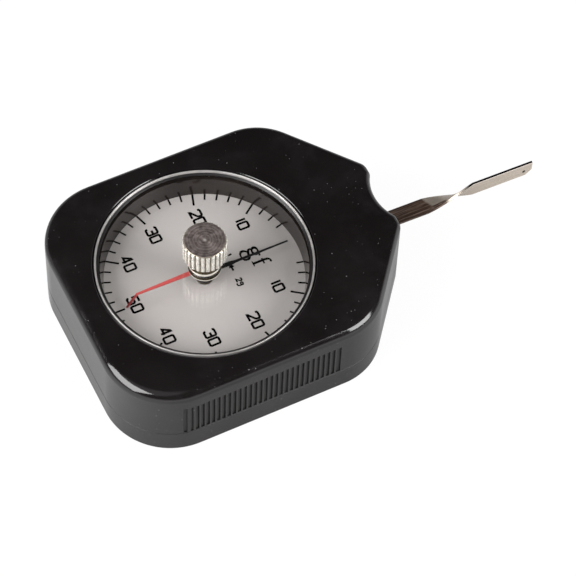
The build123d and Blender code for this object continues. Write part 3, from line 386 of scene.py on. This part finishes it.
def piece(name, vertices, faces, body, material, smooth_angle=None):
    mesh = bpy.data.meshes.new(name)
    mesh.from_pydata([Vector(v) * MM for v in vertices], [], faces)
    tidy = bmesh.new()
    tidy.from_mesh(mesh)
    bmesh.ops.remove_doubles(tidy, verts=tidy.verts, dist=1e-7)
    bmesh.ops.recalc_face_normals(tidy, faces=tidy.faces)
    tidy.to_mesh(mesh)
    tidy.free()
    made = bpy.data.objects.new(name, mesh)
    bpy.context.scene.collection.objects.link(made)
    mesh.materials.append(material)
    if smooth_angle:
        for polygon in mesh.polygons:
            polygon.use_smooth = True
        split = made.modifiers.new("split", "EDGE_SPLIT")
        split.split_angle = math.radians(smooth_angle)
    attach(made, body)
    return made


def lathe(rows, steps, closed):
    """Faces between rows of vertices that run round an axis, each row with the same number of steps."""
    faces = []
    last = len(rows) if closed else len(rows) - 1
    for row in range(last):
        below = rows[row]
        above = rows[(row + 1) % len(rows)]
        for step in range(steps):
            after = (step + 1) % steps
            faces.append((below + step, below + after, above + after, above + step))
    return faces


def circle(radius, z, steps):
    angles = [2 * math.pi * k / steps for k in range(steps)]
    return [(radius * math.cos(angle), radius * math.sin(angle), z) for angle in angles]


# Bright ring: a rounded section turned round the window, with a black lip inside it
ring_profile = [
    (24.62, 22.42), (24.62, 22.58), (24.66, 22.64), (25.19, 22.70), (25.22, 22.74), (25.3, 23.08),
    (25.36, 23.2), (25.44, 23.25), (25.52, 23.27), (25.60, 23.26), (25.64, 23.24), (25.68, 23.2),
    (25.70, 23.13), (25.70, 22.42),
]
ring_steps = 320
lip_edge = 25.21
vertices = []
for r, z in ring_profile:
    vertices += circle(r, z, ring_steps)
rows = [row * ring_steps for row in range(len(ring_profile))]
ring = piece("ring_turned", vertices, lathe(rows, ring_steps, True), "case", finishes["ring_chrome"],
             50)
ring.data.materials.append(ring_lip)
for polygon in ring.data.polygons:
    if math.hypot(polygon.center.x, polygon.center.y) < lip_edge * MM:
        polygon.material_index = 1
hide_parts("bezel_ring")

# Knob: rounded ridges all round the head, bevels at both ends, a neck below, turned rings on its face
knob_top = 32.2
head_foot = 26.1
knob_radius = 5.2
bevel = 0.42
ridges = 26
first_groove = math.radians(11.3)
knob_steps = ridges * 16
neck_profile = [(23.25, 2.2), (23.25, 2.8), (23.35, 2.9), (head_foot - 0.12, 2.9), (head_foot, 3.05)]


def groove_radius(angle):
    wave = (1 + math.cos(ridges * (angle - first_groove))) / 2
    return knob_radius - 0.34 * wave ** 2


levels = []
for share in (0, 0.25, 0.5, 0.75, 1):
    levels.append((head_foot + 0.35 * share, knob_radius - 0.35 * (1 - share)))
for share in (0, 0.2, 0.4, 0.6, 0.8):
    levels.append((knob_top - bevel * (1 - share), knob_radius - bevel * share))
levels.append((knob_top - 0.03, knob_radius - bevel + 0.01))
levels.append((knob_top, knob_radius - bevel - 0.06))
vertices = []
rows = []
for z, r in neck_profile:
    rows.append(len(vertices))
    vertices += circle(r, z, knob_steps)
for z, limit in levels:
    rows.append(len(vertices))
    for k in range(knob_steps):
        angle = 2 * math.pi * k / knob_steps
        r = min(groove_radius(angle), limit)
        vertices.append((r * math.cos(angle), r * math.sin(angle), z))
face_rings = 7
rows_per_ring = 5
ring_depth = 0.018
face_radius = knob_radius - bevel - 0.06
ring_pitch = (face_radius - 0.2) / face_rings
for index in range(1, face_rings * rows_per_ring + 1):
    r = face_radius - index * ring_pitch / rows_per_ring
    z = knob_top - ring_depth * (1 - math.cos(2 * math.pi * index / rows_per_ring)) / 2
    rows.append(len(vertices))
    vertices += circle(r, z, knob_steps)
faces = lathe(rows, knob_steps, False)
faces.append(tuple(rows[-1] + k for k in range(knob_steps)))
faces.append(tuple(rows[0] + k for k in reversed(range(knob_steps))))
knob = piece("knob_fluted", vertices, faces, "drag_knob", knob_side(), 40)
knob.data.materials.append(knob_face())
for polygon in knob.data.polygons:
    if polygon.center.z > (knob_top - 0.05) * MM:
        polygon.material_index = 1
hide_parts("knob")

# Print on the dial: thin strokes of ink
ink_foot = 16.095
ink_top = 16.115


class Ink:
    """Gathers strokes. Their places are across (u) and up (v) the dial, with the arm at the top."""
    def __init__(self, weight=1.0):
        self.weight = weight
        self.vertices = []
        self.faces = []

    def prism(self, outline):
        start = len(self.vertices)
        count = len(outline)
        for z in (ink_foot, ink_top):
            self.vertices += [(v, -u, z) for u, v in outline]
        self.faces.append(tuple(start + k for k in range(count)))
        self.faces.append(tuple(start + count + k for k in reversed(range(count))))
        for k in range(count):
            after = (k + 1) % count
            self.faces.append((start + k, start + count + k, start + count + after, start + after))

    def stroke(self, points, widths):
        """A stroke along points, with a width at each, drawn as one closed strip."""
        points = [Vector(p) for p in points]
        if not isinstance(widths, (list, tuple)):
            widths = [widths] * len(points)
        closed = (points[0] - points[-1]).length < 1e-6
        if closed:
            points = points[:-1]
        count = len(points)
        left = []
        right = []
        for index, point in enumerate(points):
            before = points[index - 1] if closed or index else None
            after = points[(index + 1) % count] if closed or index < count - 1 else None
            ways = [(point - before).normalized()] if before is not None else []
            ways += [(after - point).normalized()] if after is not None else []
            way = sum(ways, Vector((0, 0))).normalized()
            side = Vector((-way.y, way.x))
            reach = widths[index] * self.weight / 2
            if len(ways) == 2:
                reach /= max(0.5, math.sqrt((1 + ways[0].dot(ways[1])) / 2))
            left.append(point + side * reach)
            right.append(point - side * reach)
        pairs = count if closed else count - 1
        for z in (ink_foot, ink_top):
            for row in (left, right):
                self.vertices += [(p.y, -p.x, z) for p in row]
        base = len(self.vertices) - 4 * count
        low_left, low_right, top_left, top_right = (base + row * count for row in range(4))
        for k in range(pairs):
            after = (k + 1) % count
            self.faces.append((low_left + k, low_left + after, low_right + after, low_right + k))
            self.faces.append((top_left + k, top_right + k, top_right + after, top_left + after))
            self.faces.append((low_left + k, top_left + k, top_left + after, low_left + after))
            self.faces.append((low_right + k, low_right + after, top_right + after, top_right + k))
        if not closed:
            for k in (0, count - 1):
                self.faces.append((low_left + k, low_right + k, top_right + k, top_left + k))

    def piece(self, name):
        return piece(name, self.vertices, self.faces, "case", dial_ink)


# Scale marks, one for every 2 gf from 4 to 50 on both sides
scale = Ink()
mark_end = 23.62
for mark in range(4, 51, 2):
    for side in (-1, 1):
        if mark == 50 and side == 1:
            continue
        angle = math.radians(3.6 * mark) * side
        start, width = (20.45, 0.5) if mark % 10 == 0 else (21.95, 0.45)
        ends = [(r * math.sin(angle), r * math.cos(angle)) for r in (start, mark_end)]
        scale.stroke(ends, width)
scale.piece("dial_scale")

# Squared numbers, each glyph drawn in a unit box
glyphs = {
    "0": [[(0.12, 0), (0, 0.1), (0, 0.9), (0.12, 1), (0.88, 1), (1, 0.9), (1, 0.1), (0.88, 0), (0.12, 0)]],
    "1": [[(0.5, 0), (0.5, 1)]],
    "2": [[(0, 0.8), (0.03, 0.94), (0.16, 1), (0.84, 1), (1, 0.92), (1, 0.66), (0.9, 0.54), (0.03, 0.07),
           (0, 0), (1, 0)]],
    "3": [[(0, 0.82), (0.03, 0.94), (0.16, 1), (0.84, 1), (1, 0.92), (1, 0.6), (0.86, 0.52), (0.36, 0.52)],
          [(0.84, 0.52), (1, 0.44), (1, 0.08), (0.86, 0), (0.16, 0), (0.03, 0.06), (0, 0.2)]],
    "4": [[(0.8, 0), (0.8, 1), (0.62, 0.96), (0, 0.28), (1.1, 0.28)]],
    "5": [[(0.96, 1), (0.06, 1), (0.06, 0.56), (0.84, 0.58), (1, 0.48), (1, 0.1), (0.86, 0), (0.14, 0),
           (0.02, 0.08), (0, 0.2)]],
}
numbers = Ink()
number_stroke = 0.57
places = [
    ("1", 7.48, 13.28, 1.6, 2.45), ("0", 9.13, 13.28, 1.62, 2.45),
    ("2", 13.6, 4.45, 1.8, 2.57), ("0", 16.03, 4.45, 1.63, 2.57),
    ("3", 13.58, -6.7, 1.75, 2.52), ("0", 16.03, -6.7, 1.65, 2.52),
    ("4", 8.75, -15.8, 1.45, 2.45), ("0", 11.1, -15.88, 1.7, 2.55),
    ("5", -2.25, -19.05, 1.7, 2.55), ("0", 0.2, -19.05, 1.7, 2.55),
    ("4", -13.0, -15.8, 1.45, 2.45), ("0", -10.75, -15.88, 1.65, 2.55),
    ("3", -17.85, -7.1, 1.75, 2.5), ("0", -15.45, -7.1, 1.65, 2.5),
    ("2", -17.95, 4.4, 1.8, 2.55), ("0", -15.6, 4.4, 1.65, 2.55),
    ("1", -11.75, 13.28, 1.6, 2.45), ("0", -10.12, 13.28, 1.62, 2.45),
]
for glyph, u, v, width, height in places:
    for line in glyphs[glyph]:
        numbers.stroke([(u + x * width, v + y * height) for x, y in line], number_stroke)
numbers.piece("dial_numbers")


def arc(centre, radii, start, end, steps=14):
    """Points of an ellipse's arc, angles in degrees."""
    points = []
    for step in range(steps + 1):
        angle = math.radians(start + (end - start) * step / steps)
        points.append((centre[0] + radii[0] * math.cos(angle), centre[1] + radii[1] * math.sin(angle)))
    return points


def swell(count, thin, thick):
    """Widths of a closed bowl that is thick on its upright sides and thin at its top and foot."""
    return [thin + (thick - thin) * abs(math.cos(2 * math.pi * k / (count - 1))) for k in range(count)]


# Unit of the scale, in upright roman letters, and the smaller marks beside it
unit = Ink(1.18)
bowl = arc((-1.74, 13.86), (0.92, 0.7), 0, 360, 24)
unit.stroke(bowl, swell(24, 0.34, 0.62))
unit.stroke([(-1.05, 14.35), (-0.72, 14.5), (-0.35, 14.46)], [0.3, 0.34, 0.3])
unit.prism(arc((-0.28, 14.4), (0.28, 0.27), 0, 330, 11))
unit.stroke([(-2.35, 13.35), (-2.7, 13.0), (-2.62, 12.6), (-2.2, 12.3), (-1.5, 12.12), (-0.7, 12.02),
             (-0.3, 11.7), (-0.2, 11.2)], [0.3, 0.4, 0.48, 0.56, 0.5, 0.5, 0.56, 0.52])
unit.stroke([(-0.2, 11.2), (-0.42, 10.6), (-0.95, 10.28), (-1.6, 10.2), (-2.3, 10.3), (-2.8, 10.75),
             (-2.82, 11.25), (-2.6, 11.7), (-2.2, 12.1)],
            [0.52, 0.44, 0.36, 0.34, 0.42, 0.56, 0.56, 0.42, 0.34])
unit.stroke([(1.4, 12.0), (1.4, 15.0), (1.5, 15.6), (1.75, 16.0), (2.15, 16.22)],
            [0.54, 0.54, 0.52, 0.42, 0.32])
unit.prism(arc((2.33, 16.12), (0.32, 0.28), 0, 330, 11))
unit.stroke([(0.8, 14.42), (2.42, 14.42)], 0.34)
unit.stroke([(0.62, 11.95), (1.4, 12.02), (2.2, 11.95)], [0.18, 0.34, 0.18])
unit.piece("dial_unit")

small = Ink(1.3)
small.stroke([(1.15, 6.95), (0.0, 6.95)], 0.34)
small.prism([(-1.4, 6.95), (0.2, 7.62), (0.2, 6.28)])
small.stroke([(3.6, 7.35), (3.78, 7.62), (4.22, 7.62), (4.4, 7.4), (4.3, 7.15), (3.6, 6.4), (4.5, 6.4)], 0.3)
small.stroke(arc((5.15, 7.2), (0.34, 0.3), 0, 360, 12), 0.28)
small.stroke([(5.52, 7.5), (5.52, 6.5), (5.35, 6.15), (4.95, 6.08), (4.75, 6.25)], 0.28)
small.stroke([(-3.3, 8.5), (-3.12, 7.6)], 0.34)
small.piece("dial_marks")

# Floor and studio
floor_mesh = bpy.data.meshes.new("floor")
reach = 3.0
floor_mesh.from_pydata([(-reach, -reach, 0), (reach, -reach, 0), (reach, reach, 0), (-reach, reach, 0)], [],
                       [(0, 1, 2, 3)])
floor = bpy.data.objects.new("floor", floor_mesh)
bpy.context.scene.collection.objects.link(floor)
floor.location.z = -0.0001
g = Graph("floor_white")
tone = g.blend(g.span(g.noise(0.01, 2), 0.3, 0.7), (0.79, 0.79, 0.79, 1), (0.81, 0.81, 0.81, 1))
matt = g.make("BsdfDiffuse", None, {"Color": tone})
rays = g.make("LightPath")
mirrored = g.maths("MAXIMUM", rays.outputs["Is Glossy Ray"], rays.outputs["Is Transmission Ray"])
seen = g.maths("MAXIMUM", g.maths("MULTIPLY", rays.outputs["Is Camera Ray"], 0.93),
               g.maths("MULTIPLY", mirrored, 0.75))
# Painted shadow and light: what polished faces mirror of the floor glows darker near the object, as its
# shadow, brighter far to the left, where the lamps light it, and dimmer behind.
rest = g.span(g.distance(), 50, 110, 0.25, 0.75)
rest = g.maths("MULTIPLY", rest, g.span(g.axis("Y"), 10, 40, 1.0, 0.25))
rest = g.maths("MULTIPLY", rest, g.span(g.axis("X"), 30, 80, 1.0, 1.2))
bright = g.maths("MAXIMUM", g.span(g.axis("X"), -60, -20, 0.9, 0.25), rest)
bright = g.maths("MULTIPLY", bright, g.span(g.axis("Y"), 35, 60, 1.0, 0.2))
bright = g.maths("MAXIMUM", bright, rays.outputs["Is Camera Ray"])
glow = g.make("Emission", None, {"Color": (1, 1, 1, 1), "Strength": bright})
mixed = g.make("MixShader", None, {0: seen, 1: matt.outputs[0], 2: glow.outputs[0]})
floor_mesh.materials.append(g.close(mixed.outputs[0]))

world = bpy.data.worlds.new("studio")
bpy.context.scene.world = world
world.use_nodes = True
tree = world.node_tree
tree.nodes.clear()
way = tree.nodes.new("ShaderNodeTexCoord")
height = tree.nodes.new("ShaderNodeSeparateXYZ")
tree.links.new(way.outputs["Generated"], height.inputs[0])
rays = tree.nodes.new("ShaderNodeLightPath")


def world_maths(operation, first, second):
    made = tree.nodes.new("ShaderNodeMath")
    made.operation = operation
    for socket, value in zip(made.inputs, (first, second)):
        if isinstance(value, float):
            socket.default_value = value
        else:
            tree.links.new(value, socket)
    return made.outputs[0]


def world_span(value, low, high, out_low, out_high):
    made = tree.nodes.new("ShaderNodeMapRange")
    made.interpolation_type = "SMOOTHSTEP"
    for key, number in {"From Min": low, "From Max": high, "To Min": out_low, "To Max": out_high}.items():
        made.inputs[key].default_value = number
    tree.links.new(value, made.inputs["Value"])
    return made.outputs["Result"]


def world_towards(direction):
    """1 straight towards the direction, falling to 0 square to it."""
    made = tree.nodes.new("ShaderNodeVectorMath")
    made.operation = "DOT_PRODUCT"
    tree.links.new(way.outputs["Generated"], made.inputs[0])
    made.inputs[1].default_value = Vector(direction).normalized()
    return made.outputs["Value"]


# The room that polished faces mirror: pale near the horizon and overhead at the back, else dark
low_band = world_span(height.outputs["Z"], 0.0, 0.25, 0.6, 0.0)
low_band = world_maths("MULTIPLY", low_band, world_span(height.outputs["Y"], 0.55, 0.8, 1.0, 0.15))
high_patch = world_span(world_towards((-0.42, -0.12, 0.9)), 0.82, 0.95, 0.0, 0.4)
mirrored = world_maths("ADD", world_maths("ADD", low_band, high_patch), 0.03)
# The light that reaches matt faces comes mostly from the arm's side
fill = world_span(world_towards((0.83, -0.25, 0.5)), 0.1, 1.0, 0.32, 1.0)
fill = world_maths("MULTIPLY", rays.outputs["Is Diffuse Ray"], fill)
room = tree.nodes.new("ShaderNodeBackground")
tree.links.new(world_maths("MAXIMUM", mirrored, fill), room.inputs["Strength"])
backdrop = tree.nodes.new("ShaderNodeBackground")
backdrop.inputs["Color"].default_value = (1, 1, 1, 1)
room.inputs["Color"].default_value = (1, 1, 1, 1)
choose = tree.nodes.new("ShaderNodeMixShader")
tree.links.new(world_maths("MAXIMUM", rays.outputs["Is Camera Ray"], rays.outputs["Is Transmission Ray"]),
               choose.inputs[0])
tree.links.new(room.outputs[0], choose.inputs[1])
tree.links.new(backdrop.outputs[0], choose.inputs[2])
last = tree.nodes.new("ShaderNodeOutputWorld")
tree.links.new(choose.outputs[0], last.inputs["Surface"])


def softbox(name, azimuth, elevation, roll, width, height, level):
    """A lamp of even brightness; its place, its tilt and its size are angles seen from the origin."""
    distance = 0.8
    azimuth, elevation, roll, width, height = map(math.radians, (azimuth, elevation, roll, width, height))
    way = Vector((math.cos(azimuth) * math.cos(elevation), math.sin(azimuth) * math.cos(elevation),
                  math.sin(elevation)))
    lamp = bpy.data.lights.new(name, "AREA")
    lamp.shape = "RECTANGLE"
    lamp.size = 2 * distance * math.tan(width / 2)
    lamp.size_y = 2 * distance * math.tan(height / 2)
    lamp.energy = level * math.pi * lamp.size * lamp.size_y
    made = bpy.data.objects.new(name, lamp)
    bpy.context.scene.collection.objects.link(made)
    made.location = way * distance
    turn = way.to_track_quat("Z", "Y").to_matrix() @ Matrix.Rotation(roll, 3, "Z")
    made.rotation_euler = turn.to_euler()
    return made


softbox("soft_left", 180.5, 38, -10, 48, 42, 7.9)
softbox("soft_right", -48, 31, -13, 32, 33, 9.4)

lens = bpy.data.cameras.new("camera")
lens.sensor_width = 36
lens.lens = 187.71
lens.clip_start = 0.01
camera = bpy.data.objects.new("camera", lens)
bpy.context.scene.collection.objects.link(camera)
place = (-0.162213, -0.342012, 0.609591)
across = Vector((0.89798104, -0.43931283, 0.02518498))
down = Vector((-0.35918396, -0.76485091, -0.5347803))
ahead = Vector((0.2541986, 0.47117653, -0.84461574))
turn = Matrix((across, -down, -ahead)).transposed().to_4x4()
camera.matrix_world = Matrix.Translation(place) @ turn
bpy.context.scene.camera = camera
bpy.context.scene.view_settings.view_transform = "Standard"

bpy.context.view_layer.update()
